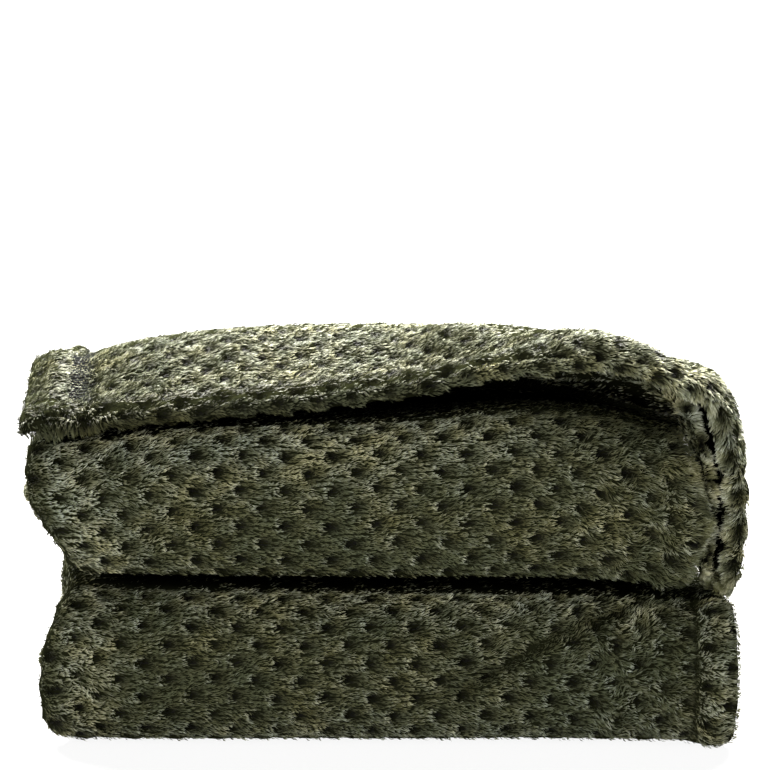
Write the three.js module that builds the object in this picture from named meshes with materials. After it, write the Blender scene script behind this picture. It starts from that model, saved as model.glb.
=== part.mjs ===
// A fleece throw, folded and stacked. Millimetres, +Z up, the front faces -Y.
// The cloth is first folded in three across its width, then back and forth
// along its length into five layers, called A to E from the top down:
//   A  flap with the front hem, ply 1 up
//      rear fold
//   B  front fold to C: the upper bulge, ply 3 outside
//   C  rear fold to D
//   D  front fold to E: the lower bulge, ply 3 outside
//   E  bottom layer, which ends in the rear hem
// One closed solid follows the middle surface of the cloth, half its thickness
// to either side. Depth d runs from 0 at the front to DEPTH at the rear.
import * as THREE from 'three';

const DEPTH = 312;
const THICKNESS = 10.5;
const STRIP_WIDTH = 420;
const LAYER_LENGTH = 250;
const FLEECE_OLIVE = 0x55553c;
const FLEECE_ROUGHNESS = 0.95;

// The turned hem: its width, how far it puffs up over the plain cloth, what
// share of that it puffs down, and its rounded nose. Pressed between other
// plies it has only a share of its room to puff.
const HEM_WIDTH = 24;
const HEM_RISE = 6.5;
const HEM_UNDERSIDE = 0.5;
const HEM_NOSE = 4.5;
const PRESSED_FRONT_HEM = 0.15;
const PRESSED_REAR_HEM = 0.2;

// A bulge at the front or rear: how far it reaches out from where its layers
// turn. The outline's exponent is 2 for an ellipse and more for a squarer one.
const BULGE_REACH = 45.8;
const FRONT_TURN = 44;
const REAR_TURN = DEPTH - FRONT_TURN;
const ELLIPSE = 2;
const ROUND = 2.3;
const SQUARE = 3.0;
const INNER_PLY = 1 / 6;
const OUTER_PLY = 5 / 6;

// Across the folded width, at the front: the seam between the two bulges, the
// crown of the upper one, how far the flap's hem stands off it, the height of
// the flap's three plies, and where each bulge's front lies. At the rear: the
// top of the stack.
const ACROSS = [
  { x: -215, seam: 104, crown: 189, lift: 1, flap: 43, lowFront: 8, upFront: 5, top: 208 },
  { x: -187, seam: 103, crown: 190, lift: 2, flap: 46, lowFront: 3, upFront: 2, top: 211 },
  { x: -155, seam: 100, crown: 194, lift: 1, flap: 51, lowFront: 1, upFront: 0, top: 220 },
  { x: -97, seam: 99, crown: 199, lift: 1, flap: 56, lowFront: 0, upFront: -2, top: 228 },
  { x: -40, seam: 98, crown: 201, lift: 4, flap: 56, lowFront: 1, upFront: -2, top: 231 },
  { x: 29, seam: 97, crown: 204, lift: 11, flap: 53, lowFront: 0, upFront: 0, top: 231 },
  { x: 85, seam: 96, crown: 210, lift: 17, flap: 48, lowFront: 2, upFront: 1, top: 229 },
  { x: 131, seam: 95, crown: 208, lift: 19, flap: 45, lowFront: 0, upFront: 1, top: 222 },
  { x: 160, seam: 93, crown: 201, lift: 16, flap: 45, lowFront: -2, upFront: 4, top: 214 },
  { x: 190, seam: 92, crown: 190, lift: 9, flap: 45, lowFront: -4, upFront: 8, top: 208 },
  { x: 215, seam: 91, crown: 182, lift: 9, flap: 45, lowFront: -5, upFront: 10, top: 200 },
];
const LIFT_START = 30;
const LIFT_END = 110;
// The flap's hem sags over the bulge's rounded top.
const SAG = 4.5;
const SAG_START = 20;
const SAG_END = 50;

// Along the cloth: where the folded strip ends at the left and the right, how
// much further in plies 2 and 3 are tucked at the left than ply 1, how much
// further out ply 3 is pushed at the right, how far a side fold swings out past
// the plies it joins, and how much room the side hems have to puff up outward on
// plies 1 and 3.
// A whole number of the course is where a layer turns into a fold or back.
const ALONG = [
  { course: 0.0, left: -216, tuck: 0, right: 185, push: 0, reach: 9.0, room1: 1.0, room3: 0.1 },
  { course: 0.5, left: -212, tuck: 0, right: 185, push: 0, reach: 8.7, room1: 1.0, room3: 0.1 },
  { course: 1.0, left: -208, tuck: 0, right: 207, push: 0, reach: 7.2, room1: 0.9, room3: 0.0 },
  { course: 1.5, left: -206, tuck: 0, right: 203, push: 0, reach: 7.0, room1: 0.9, room3: 0.0 },
  { course: 2.0, left: -210, tuck: 0, right: 204, push: 0, reach: 7.0, room1: 0.1, room3: 0.0 },
  { course: 2.35, left: -215, tuck: 0, right: 188, push: 0, reach: 7.2, room1: 0.0, room3: 0.1 },
  { course: 2.8, left: -214, tuck: 0, right: 185, push: 0, reach: 8.0, room1: 0.0, room3: 0.0 },
  { course: 3.0, left: -213, tuck: 0, right: 185, push: 0, reach: 8.0, room1: 0.0, room3: 0.0 },
  { course: 3.3, left: -212, tuck: 0, right: 189, push: 5, reach: 8.0, room1: 0.0, room3: 0.8 },
  { course: 3.5, left: -210, tuck: 3, right: 191, push: 11, reach: 8.0, room1: 0.0, room3: 1.0 },
  { course: 3.7, left: -207, tuck: 13, right: 190, push: 4, reach: 8.0, room1: 0.0, room3: 0.9 },
  { course: 3.85, left: -206, tuck: 16, right: 186, push: 2, reach: 8.0, room1: 0.0, room3: 0.7 },
  { course: 4.0, left: -205, tuck: 16, right: 182, push: 3, reach: 8.0, room1: 0.0, room3: 0.1 },
  { course: 4.3, left: -205, tuck: 13, right: 182, push: 0, reach: 8.0, room1: 0.0, room3: 0.0 },
  { course: 4.7, left: -205, tuck: 6, right: 192, push: 0, reach: 7.5, room1: 0.0, room3: 0.0 },
  { course: 5.0, left: -204, tuck: 1, right: 203, push: 0, reach: 7.0, room1: 0.4, room3: 0.0 },
  { course: 5.5, left: -204, tuck: 0, right: 206, push: 0, reach: 7.0, room1: 0.9, room3: 0.0 },
  { course: 6.0, left: -205, tuck: 0, right: 206, push: 0, reach: 7.0, room1: 0.4, room3: 0.0 },
  { course: 6.6, left: -201, tuck: 3, right: 208, push: 0, reach: 7.5, room1: 0.0, room3: 0.0 },
  { course: 7.0, left: -196, tuck: 6, right: 218, push: 0, reach: 8.0, room1: 0.0, room3: 0.3 },
  { course: 7.2, left: -199, tuck: 4, right: 220, push: 0, reach: 8.0, room1: 0.0, room3: 0.9 },
  { course: 7.5, left: -204, tuck: 0, right: 221, push: 0, reach: 8.0, room1: 0.0, room3: 1.0 },
  { course: 7.8, left: -203, tuck: 0, right: 219, push: 0, reach: 8.0, room1: 0.0, room3: 0.8 },
  { course: 8.0, left: -196, tuck: 3, right: 212, push: 0, reach: 8.0, room1: 0.0, room3: 0.1 },
  { course: 8.5, left: -201, tuck: 1, right: 212, push: 0, reach: 7.5, room1: 0.0, room3: 0.0 },
  { course: 9.0, left: -205, tuck: 0, right: 207, push: 0, reach: 7.0, room1: 0.2, room3: 0.0 },
];

// The flap's right side droops over the stack: how far plies 1 and 2 run past
// the bend at BEND_X, and what share of a right angle they bend through. The
// part that hangs, HANG long at the front, bows out and then in a little.
const BEND_X = 185;
const BEND_RADIUS = 25;
const BEND_ARC = (BEND_RADIUS * Math.PI) / 2;
const HANG = 91;
const BOW_OUT = 5;
const BOW_IN = -3.5;
const DROOP = [
  { d: 18, past: 129, turn: 1.0 },
  { d: 60, past: 116, turn: 1.0 },
  { d: 105, past: 94, turn: 0.97 },
  { d: 150, past: 70, turn: 0.82 },
  { d: 195, past: 46, turn: 0.5 },
  { d: 235, past: 26, turn: 0.18 },
  { d: REAR_TURN, past: 12, turn: 0.0 },
];
const FULL_RIGHT = BEND_X + DROOP[DROOP.length - 1].past;
const NO_TURN = 1e-4;

// Ply 1 comes down over the set-back edges of plies 2 and 3: from EDGE_FAR in
// front of each to EDGE_NEAR. It does so too past the end of ply 3, and there
// the two plies left lie SLACK of a ply's pitch looser.
const PLY3_EDGE = 100;
const EDGE_FAR = 55;
const EDGE_NEAR = 4;
const PLY3_END_NEAR = 14;
const PLY3_END_FAR = 90;
const SLACK = 0.16;
const PLY2_EDGE = [
  { x: -215, d: 130 },
  { x: 10, d: 126 },
  { x: 50, d: 104 },
  { x: 90, d: 80 },
  { x: 131, d: 60 },
  { x: 186, d: 36 },
];

// Depth of the flap's front edge round the three plies, by leg (see legOf).
const FLAP_EDGE = [
  { leg: 0.0, d: 27 },
  { leg: 0.2, d: 23 },
  { leg: 0.5, d: 22 },
  { leg: 0.8, d: 20 },
  { leg: 1.0, d: 22 },
  { leg: 2.0, d: 24 },
  { leg: 2.2, d: 32 },
  { leg: 2.35, d: 84 },
  { leg: 2.5, d: 116 },
  { leg: 3.0, d: 130 },
  { leg: 4.0, d: PLY3_EDGE },
  { leg: 5.0, d: PLY3_EDGE },
];
// Depth of the rear edge of layer E round the three plies.
const REAR_EDGE = [
  { leg: 0.0, d: 303 },
  { leg: 1.0, d: 296 },
  { leg: 2.0, d: 294 },
  { leg: 3.0, d: 299 },
  { leg: 4.0, d: 301 },
  { leg: 5.0, d: 305 },
];

// The slanting trough pressed into the lower bulge: its middle, how far it
// runs to the left in one course, its half width and share of the radius, and
// the courses between which it comes and goes.
const TROUGH = {
  x: 95,
  course: 7.4,
  run: 240,
  halfWidth: 18,
  depth: 0.15,
  comes: [7.05, 7.2],
  goes: [7.5, 7.7],
};

// A hem's rise over the plain cloth at a distance from its edge: the turned
// edge is fattest in its middle and drawn in at the stitch line.
const HEM_PROFILE = [
  { from: 0, rise: 0.45 },
  { from: HEM_WIDTH / 2, rise: 1.0 },
  { from: HEM_WIDTH, rise: -0.15 },
  { from: HEM_WIDTH * 1.4, rise: 0 },
];

const { clamp, lerp, smoothstep } = THREE.MathUtils;

// A smooth curve through a table's column.
const hermite = (table, key, column, at) => {
  const last = table.length - 1;
  if (at <= table[0][key]) return table[0][column];
  if (at >= table[last][key]) return table[last][column];
  let i = 0;
  while (at > table[i + 1][key]) i += 1;
  const slope = (j) => {
    const before = table[Math.max(j - 1, 0)];
    const after = table[Math.min(j + 1, last)];
    return (after[column] - before[column]) / (after[key] - before[key]);
  };
  const span = table[i + 1][key] - table[i][key];
  const s = (at - table[i][key]) / span;
  const rise = table[i + 1][column] - table[i][column];
  const start = slope(i) * span;
  const end = slope(i + 1) * span;
  const square = 3 * rise - 2 * start - end;
  const cube = start + end - 2 * rise;
  return table[i][column] + s * (start + s * (square + s * cube));
};

// Where a leg number lies on the folded strip: legs 0-1, 2-3 and 4-5 are plies
// 1, 2 and 3, and legs 1-2 and 3-4 the folds at the right and the left.
// share is 0 at the left end and 1 at the right, ply 1, 0 or -1 for plies 1, 2, 3.
const legOf = (leg) => {
  const part = Math.min(Math.floor(leg), 4);
  const angle = (leg - part) * Math.PI;
  if (part === 0) return { share: leg, ply: 1, out: 0 };
  if (part === 1) return { share: 1, ply: 0.5 + 0.5 * Math.cos(angle), out: Math.sin(angle) };
  if (part === 2) return { share: 3 - leg, ply: 0, out: 0 };
  if (part === 3) return { share: 0, ply: -0.5 + 0.5 * Math.cos(angle), out: -Math.sin(angle) };
  return { share: leg - 4, ply: -1, out: 0 };
};

// The five layers' boundaries, from the floor up, at x and depth d.
const levels = (x, d) => {
  const seam = hermite(ACROSS, 'x', 'seam', x);
  const crown = hermite(ACROSS, 'x', 'crown', x);
  const flap = hermite(ACROSS, 'x', 'flap', x);
  const top = hermite(ACROSS, 'x', 'top', x);
  const back = smoothstep(d, FRONT_TURN, REAR_TURN);
  const front = [0, seam / 2, seam, (seam + crown) / 2, crown, crown + flap];
  const found = front.map((z, i) => lerp(z, (top * i) / 5, back));
  // The lowest ply's middle is half the thickness off the floor.
  found[0] = (THICKNESS / 2 - INNER_PLY * found[1]) / OUTER_PLY;
  return found;
};

// The ends of a leg at a course: a hem runs to the strip's end, and a fold
// turns short of it by its own reach.
const legEnds = (leg, ply, course) => {
  const reach = hermite(ALONG, 'course', 'reach', course);
  const tuck = hermite(ALONG, 'course', 'tuck', course) * clamp(1 - ply, 0, 1);
  const left = hermite(ALONG, 'course', 'left', course) + tuck;
  const push = hermite(ALONG, 'course', 'push', course) * clamp(-ply, 0, 1);
  const right = hermite(ALONG, 'course', 'right', course) + push;
  const turnRoom = reach + THICKNESS / 2;
  return {
    left: leg <= 1 ? left + HEM_NOSE : left + turnRoom,
    right: leg >= 4 ? right - HEM_NOSE : right - turnRoom,
    reach,
  };
};

// Layer A: plies 1 and 2 come down where there is less cloth under them, and
// bend over the right side.
const flapPoint = (leg, share) => {
  const { share: across, ply, out } = legOf(leg);
  const d = lerp(hermite(FLAP_EDGE, 'leg', 'd', leg), REAR_TURN, share);
  const past = hermite(DROOP, 'd', 'past', d);
  const turn = hermite(DROOP, 'd', 'turn', d) * (Math.PI / 2);
  const ends = legEnds(leg, ply, share);
  const ply3End = FULL_RIGHT + ends.reach - 2 * (BEND_X + past - FULL_RIGHT);
  const right = leg < 4 ? BEND_X + past : ply3End;
  const s = lerp(ends.left, right, across) + ends.reach * out;
  const x = Math.min(s, BEND_X);
  const level = levels(x, d);
  const pitch = (level[5] - level[4]) / 3;
  const pastPly3 = smoothstep(x, ply3End + PLY3_END_NEAR, ply3End + PLY3_END_FAR);
  const over3 = smoothstep(d, PLY3_EDGE - EDGE_FAR, PLY3_EDGE - EDGE_NEAR) * (1 - pastPly3);
  const edge2 = hermite(PLY2_EDGE, 'x', 'd', x);
  const over2 = smoothstep(d, edge2 - EDGE_FAR, edge2 - EDGE_NEAR);
  const heights = [0.5, 0.5 + over3, 0.5 + over3 + over2 * (1 + SLACK * pastPly3)];
  const step = ply > 0 ? lerp(heights[1], heights[2], ply) : lerp(heights[1], heights[0], -ply);
  const raised = hermite(ACROSS, 'x', 'lift', x) * (1 - smoothstep(d, LIFT_START, LIFT_END));
  const lift = raised - SAG * (1 - smoothstep(d, SAG_START, SAG_END));
  const z = level[4] + lift + pitch * step;
  if (s <= BEND_X || turn < NO_TURN) return [s, d, z];
  const ply1Z = level[4] + lift + pitch * heights[2];
  const radius = BEND_ARC / turn;
  const angle = Math.min((s - BEND_X) / BEND_ARC, 1) * turn;
  const straight = Math.max(s - BEND_X - BEND_ARC, 0);
  const own = radius - (ply1Z - z);
  const hang = straight / HANG;
  const bow = turn * (BOW_OUT * Math.sin(Math.PI * Math.min(hang, 1)) - BOW_IN * hang ** 3);
  return [
    BEND_X + own * Math.sin(angle) + straight * Math.cos(angle) + bow,
    d,
    ply1Z - radius + own * Math.cos(angle) - straight * Math.sin(angle),
  ];
};

// A fold's outline: one unit high and one deep, square by its exponent.
const outline = (angle, exponent) => {
  const c = Math.abs(Math.cos(angle));
  const s = Math.abs(Math.sin(angle));
  const radius = (c ** exponent + s ** exponent) ** (-1 / exponent);
  return [c * radius, s * radius];
};

const troughAt = (x, course) => {
  const middleX = TROUGH.x - (course - TROUGH.course) * TROUGH.run;
  const across = (x - middleX) / TROUGH.halfWidth;
  const fade = smoothstep(course, ...TROUGH.comes) * (1 - smoothstep(course, ...TROUGH.goes));
  return TROUGH.depth * fade * Math.exp(-across * across);
};

// Layers B to E and the folds between the layers.
const stackPoint = (leg, course) => {
  const { share: across, ply, out } = legOf(leg);
  const ends = legEnds(leg, ply, course);
  const x = lerp(ends.left, ends.right, across) + ends.reach * out;
  const part = Math.min(Math.floor(course), 8);
  const share = course - part;
  const atFront = part === 3 || part === 7;
  const frontShift = (upper) => hermite(ACROSS, 'x', upper ? 'upFront' : 'lowFront', x);
  const below = [null, 4, 3, 3, 2, 2, 1, 1, 0][part];
  if (part % 2 === 1) {
    const turnAt = atFront ? FRONT_TURN + frontShift(part === 3) : REAR_TURN;
    const level = levels(x, atFront ? FRONT_TURN : REAR_TURN);
    const rest = (1.5 - (atFront ? ply : -ply)) / 3;
    const angle = Math.PI * (0.5 - share);
    const outer = clamp((rest - INNER_PLY) / (OUTER_PLY - INNER_PLY), 0, 1);
    const [reach, height] = outline(angle, lerp(ELLIPSE, angle > 0 ? ROUND : SQUARE, outer));
    const trough = part === 7 ? troughAt(x, course) * Math.max(rest - INNER_PLY, 0) : 0;
    const half = level[angle > 0 ? below + 1 : below - 1] - level[below];
    const forward = (atFront ? -1 : 1) * BULGE_REACH * (rest - trough) * reach;
    return [x, turnAt + forward, level[below] + half * rest * height];
  }
  const towardFront = part === 2 || part === 6;
  const front = FRONT_TURN + frontShift(part < 6);
  const rear = part === 8 ? hermite(REAR_EDGE, 'leg', 'd', leg) : REAR_TURN;
  const d = towardFront ? lerp(rear, front, share) : lerp(front, rear, share);
  const level = levels(x, d);
  const up = towardFront ? -ply : ply;
  return [x, d, lerp(level[below], level[below + 1], (up + 1.5) / 3)];
};

const middle = (leg, course) => {
  const [x, d, z] = course < 1 ? flapPoint(leg, course) : stackPoint(leg, course);
  return new THREE.Vector3(x, d - DEPTH / 2, z);
};

// The normal of the middle surface, which points out of ply 1's upper face.
const NORMAL_STEP = 1e-3;
const normalAt = (leg, course) => {
  const legs = [clamp(leg - NORMAL_STEP, 0, 5), clamp(leg + NORMAL_STEP, 0, 5)];
  const courses = [clamp(course - NORMAL_STEP, 0, 9), clamp(course + NORMAL_STEP, 0, 9)];
  const alongLeg = middle(legs[1], course).sub(middle(legs[0], course));
  const alongCourse = middle(leg, courses[1]).sub(middle(leg, courses[0]));
  return alongLeg.cross(alongCourse).normalize();
};

const hemRise = (from) => hermite(HEM_PROFILE, 'from', 'rise', from);

// The grid lines across and along the cloth. Each hem has lines of its own.
const between = (from, to, count) =>
  Array.from({ length: count }, (_, i) => lerp(from, to, (i + 1) / count));
const LEG_HEM = HEM_WIDTH / STRIP_WIDTH;
const LEGS = [
  0,
  ...between(0, LEG_HEM, 2),
  ...between(LEG_HEM, 0.5, 2),
  ...between(0.5, 0.72, 2),
  ...between(0.72, 1, 8),
  ...between(1, 2, 4),
  ...between(2, 2.28, 7),
  ...between(2.28, 2.5, 2),
  ...between(2.5, 3, 2),
  ...between(3, 4, 4),
  ...between(4, 5 - LEG_HEM, 3),
  ...between(5 - LEG_HEM, 5, 2),
];
const COURSE_HEM = HEM_WIDTH / LAYER_LENGTH;
const COURSES = [
  0,
  ...between(0, COURSE_HEM, 2),
  ...between(COURSE_HEM, 1, 9),
  ...between(1, 2, 7),
  ...between(2, 2.7, 2),
  ...between(2.7, 3, 2),
  ...between(3, 4, 9),
  ...between(4, 4.3, 2),
  ...between(4.3, 5, 2),
  ...between(5, 6, 7),
  ...between(6, 7, 3),
  ...between(7, 8, 9),
  ...between(8, 9 - COURSE_HEM, 3),
  ...between(9 - COURSE_HEM, 9, 2),
];

// Half the thickness above and below the middle surface.
const halves = (leg, course) => {
  const room1 = hermite(ALONG, 'course', 'room1', course);
  const room3 = hermite(ALONG, 'course', 'room3', course);
  const leftHem = hemRise(leg * STRIP_WIDTH);
  const rightHem = hemRise((5 - leg) * STRIP_WIDTH);
  const frontHem = hemRise(course * LAYER_LENGTH) * (leg < 1.5 ? 1 : PRESSED_FRONT_HEM);
  const rearHem = hemRise((9 - course) * LAYER_LENGTH) * PRESSED_REAR_HEM;
  const rise1 = Math.max(leg < 1 ? leftHem * room1 : 0, frontHem, rearHem);
  const under = Math.max(frontHem * HEM_UNDERSIDE, 0);
  const rise3 = leg > 4 ? rightHem * room3 : 0;
  return {
    upper: THICKNESS / 2 + HEM_RISE * rise1,
    lower: THICKNESS / 2 + HEM_RISE * Math.max(under, rise3),
  };
};

const INWARD_STEP = 0.02;
const buildBlanket = () => {
  const positions = [];
  const indices = [];
  const add = (point) => {
    positions.push(point.x, point.y, Math.max(point.z, 0));
    return positions.length / 3 - 1;
  };
  const upper = [];
  const lower = [];
  for (const course of COURSES) {
    const upperRow = [];
    const lowerRow = [];
    for (const leg of LEGS) {
      const centre = middle(leg, course);
      const normal = normalAt(leg, course);
      const half = halves(leg, course);
      upperRow.push(add(centre.clone().addScaledVector(normal, half.upper)));
      lowerRow.push(add(centre.clone().addScaledVector(normal, -half.lower)));
    }
    upper.push(upperRow);
    lower.push(lowerRow);
  }
  const quad = (a, b, c, d) => indices.push(a, b, c, a, c, d);
  for (let i = 0; i < COURSES.length - 1; i += 1) {
    for (let j = 0; j < LEGS.length - 1; j += 1) {
      quad(upper[i][j], upper[i][j + 1], upper[i + 1][j + 1], upper[i + 1][j]);
      quad(lower[i][j], lower[i + 1][j], lower[i + 1][j + 1], lower[i][j + 1]);
    }
  }
  // The rim runs once round the cloth's edge, with a rounded nose half way
  // between its two faces.
  const lastRow = COURSES.length - 1;
  const lastColumn = LEGS.length - 1;
  const rim = [];
  for (let j = 0; j < lastColumn; j += 1) rim.push([0, j]);
  for (let i = 0; i < lastRow; i += 1) rim.push([i, lastColumn]);
  for (let j = lastColumn; j > 0; j -= 1) rim.push([lastRow, j]);
  for (let i = lastRow; i > 0; i -= 1) rim.push([i, 0]);
  const noses = rim.map(([i, j]) => {
    const inward = middle(
      clamp(LEGS[j], INWARD_STEP, 5 - INWARD_STEP),
      clamp(COURSES[i], INWARD_STEP, 9 - INWARD_STEP),
    );
    const edge = middle(LEGS[j], COURSES[i]);
    const outward = edge.clone().sub(inward).normalize();
    return add(edge.addScaledVector(outward, HEM_NOSE));
  });
  rim.forEach(([i, j], k) => {
    const [ni, nj] = rim[(k + 1) % rim.length];
    const next = noses[(k + 1) % noses.length];
    quad(upper[i][j], noses[k], next, upper[ni][nj]);
    quad(noses[k], lower[i][j], lower[ni][nj], next);
  });
  const geometry = new THREE.BufferGeometry();
  geometry.setAttribute('position', new THREE.Float32BufferAttribute(positions, 3));
  geometry.setIndex(indices);
  geometry.computeBoundingBox();
  const centre = geometry.boundingBox.getCenter(new THREE.Vector3());
  geometry.translate(-centre.x, -centre.y, 0);
  geometry.computeVertexNormals();
  return geometry;
};

const blanket = new THREE.Mesh(
  buildBlanket(),
  new THREE.MeshStandardMaterial({ color: FLEECE_OLIVE, roughness: FLEECE_ROUGHNESS, metalness: 0 }),
);
blanket.name = 'blanket';

const part = new THREE.Group();
part.add(blanket);
export default part;
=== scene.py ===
import math

import bpy
import numpy as np
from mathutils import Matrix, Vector
from mathutils.bvhtree import BVHTree


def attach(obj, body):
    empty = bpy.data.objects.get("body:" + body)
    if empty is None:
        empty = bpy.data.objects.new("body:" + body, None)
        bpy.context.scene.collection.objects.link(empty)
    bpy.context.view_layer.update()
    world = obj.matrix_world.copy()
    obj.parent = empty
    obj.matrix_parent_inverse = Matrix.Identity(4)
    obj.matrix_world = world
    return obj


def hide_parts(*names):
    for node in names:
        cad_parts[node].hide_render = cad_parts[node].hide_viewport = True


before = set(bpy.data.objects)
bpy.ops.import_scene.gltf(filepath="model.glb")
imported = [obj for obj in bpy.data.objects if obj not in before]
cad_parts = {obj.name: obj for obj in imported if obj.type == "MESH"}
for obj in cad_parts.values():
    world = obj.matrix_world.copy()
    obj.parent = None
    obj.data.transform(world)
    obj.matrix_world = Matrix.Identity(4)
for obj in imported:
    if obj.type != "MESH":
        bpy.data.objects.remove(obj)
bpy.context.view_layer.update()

MM = 0.001
SEED = 11


def table(columns, rows):
    """A table with named columns, each an array."""
    return dict(zip(columns.split(), np.array(rows, float).T))


# The folded shape, as in the solid.

DEPTH = 312.0
THICKNESS = 10.5
STRIP_WIDTH = 420.0
LAYER_LENGTH = 250.0
HEM_WIDTH = 24.0
HEM_RISE = 6.5
HEM_UNDERSIDE = 0.5
HEM_NOSE = 4.5
PRESSED_FRONT_HEM = 0.15
PRESSED_REAR_HEM = 0.2
BULGE_REACH = 45.8
FRONT_TURN = 44.0
REAR_TURN = DEPTH - FRONT_TURN
ELLIPSE, ROUND, SQUARE = 2.0, 2.3, 3.0
INNER_PLY, OUTER_PLY = 1 / 6, 5 / 6
LIFT_START, LIFT_END = 30.0, 110.0
SAG, SAG_START, SAG_END = 4.5, 20.0, 50.0
# The solid is centred on its box; this is the box's centre before that.
CENTRE = np.array([10.0868, -2.7182, 0.0])

ACROSS = table("x seam crown lift flap lowFront upFront top", [
    (-215, 104, 189, 1, 43, 8, 5, 208),
    (-187, 103, 190, 2, 46, 3, 2, 211),
    (-155, 100, 194, 1, 51, 1, 0, 220),
    (-97, 99, 199, 1, 56, 0, -2, 228),
    (-40, 98, 201, 4, 56, 1, -2, 231),
    (29, 97, 204, 11, 53, 0, 0, 231),
    (85, 96, 210, 17, 48, 2, 1, 229),
    (131, 95, 208, 19, 45, 0, 1, 222),
    (160, 93, 201, 16, 45, -2, 4, 214),
    (190, 92, 190, 9, 45, -4, 8, 208),
    (215, 91, 182, 9, 45, -5, 10, 200),
])
ALONG = table("course left tuck right push reach room1 room3", [
    (0.0, -216, 0, 185, 0, 9.0, 1.0, 0.1),
    (0.5, -212, 0, 185, 0, 8.7, 1.0, 0.1),
    (1.0, -208, 0, 207, 0, 7.2, 0.9, 0.0),
    (1.5, -206, 0, 203, 0, 7.0, 0.9, 0.0),
    (2.0, -210, 0, 204, 0, 7.0, 0.1, 0.0),
    (2.35, -215, 0, 188, 0, 7.2, 0.0, 0.1),
    (2.8, -214, 0, 185, 0, 8.0, 0.0, 0.0),
    (3.0, -213, 0, 185, 0, 8.0, 0.0, 0.0),
    (3.3, -212, 0, 189, 5, 8.0, 0.0, 0.8),
    (3.5, -210, 3, 191, 11, 8.0, 0.0, 1.0),
    (3.7, -207, 13, 190, 4, 8.0, 0.0, 0.9),
    (3.85, -206, 16, 186, 2, 8.0, 0.0, 0.7),
    (4.0, -205, 16, 182, 3, 8.0, 0.0, 0.1),
    (4.3, -205, 13, 182, 0, 8.0, 0.0, 0.0),
    (4.7, -205, 6, 192, 0, 7.5, 0.0, 0.0),
    (5.0, -204, 1, 203, 0, 7.0, 0.4, 0.0),
    (5.5, -204, 0, 206, 0, 7.0, 0.9, 0.0),
    (6.0, -205, 0, 206, 0, 7.0, 0.4, 0.0),
    (6.6, -201, 3, 208, 0, 7.5, 0.0, 0.0),
    (7.0, -196, 6, 218, 0, 8.0, 0.0, 0.3),
    (7.2, -199, 4, 220, 0, 8.0, 0.0, 0.9),
    (7.5, -204, 0, 221, 0, 8.0, 0.0, 1.0),
    (7.8, -203, 0, 219, 0, 8.0, 0.0, 0.8),
    (8.0, -196, 3, 212, 0, 8.0, 0.0, 0.1),
    (8.5, -201, 1, 212, 0, 7.5, 0.0, 0.0),
    (9.0, -205, 0, 207, 0, 7.0, 0.2, 0.0),
])
BEND_X = 185.0
BEND_RADIUS = 25.0
BEND_ARC = BEND_RADIUS * math.pi / 2
HANG = 91.0
BOW_OUT, BOW_IN = 5.0, -3.5
DROOP = table("d past turn", [
    (18, 129, 1.0),
    (60, 116, 1.0),
    (105, 94, 0.97),
    (150, 70, 0.82),
    (195, 46, 0.5),
    (235, 26, 0.18),
    (REAR_TURN, 12, 0.0),
])
FULL_RIGHT = BEND_X + DROOP["past"][-1]
PLY3_EDGE = 100.0
EDGE_FAR, EDGE_NEAR = 55.0, 4.0
PLY3_END_NEAR, PLY3_END_FAR = 14.0, 90.0
SLACK = 0.16
PLY2_EDGE = table("x d", [(-215, 130), (10, 126), (50, 104), (90, 80), (131, 60), (186, 36)])
FLAP_EDGE = table("leg d", [
    (0.0, 27), (0.2, 23), (0.5, 22), (0.8, 20), (1.0, 22), (2.0, 24), (2.2, 32),
    (2.35, 84), (2.5, 116), (3.0, 130), (4.0, PLY3_EDGE), (5.0, PLY3_EDGE),
])
REAR_EDGE = table("leg d", [(0, 303), (1, 296), (2, 294), (3, 299), (4, 301), (5, 305)])
TROUGH_X, TROUGH_COURSE, TROUGH_RUN = 95.0, 7.4, 240.0
TROUGH_HALF_WIDTH, TROUGH_DEPTH = 18.0, 0.15
TROUGH_COMES, TROUGH_GOES = (7.05, 7.2), (7.5, 7.7)
HEM_PROFILE = table("off rise", [
    (0, 0.45), (HEM_WIDTH / 2, 1.0), (HEM_WIDTH, -0.15), (HEM_WIDTH * 1.4, 0),
])


def hermite(source, key, column, at):
    """A smooth curve through a table's column."""
    xs, ys = source[key], source[column]
    last = len(xs) - 1
    padded_xs, padded_ys = np.pad(xs, 1, "edge"), np.pad(ys, 1, "edge")
    slopes = (padded_ys[2:] - padded_ys[:-2]) / (padded_xs[2:] - padded_xs[:-2])
    at = np.clip(at, xs[0], xs[-1])
    i = np.clip(np.searchsorted(xs, at, side="left") - 1, 0, last - 1)
    span = xs[i + 1] - xs[i]
    s = (at - xs[i]) / span
    rise = ys[i + 1] - ys[i]
    start, end = slopes[i] * span, slopes[i + 1] * span
    square = 3 * rise - 2 * start - end
    cube = start + end - 2 * rise
    return ys[i] + s * (start + s * (square + s * cube))


def curves(source, key, columns, at):
    """Smooth curves through several of a table's columns."""
    return [hermite(source, key, column, at) for column in columns.split()]


def smoothstep(x, low, high):
    t = np.clip((x - low) / (high - low), 0, 1)
    return t * t * (3 - 2 * t)


def comes_and_goes(x, comes, goes):
    """1 between two stretches where it comes and goes, and 0 outside them."""
    return smoothstep(x, *comes) * (1 - smoothstep(x, *goes))


def lerp(a, b, t):
    return a + (b - a) * t


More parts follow.
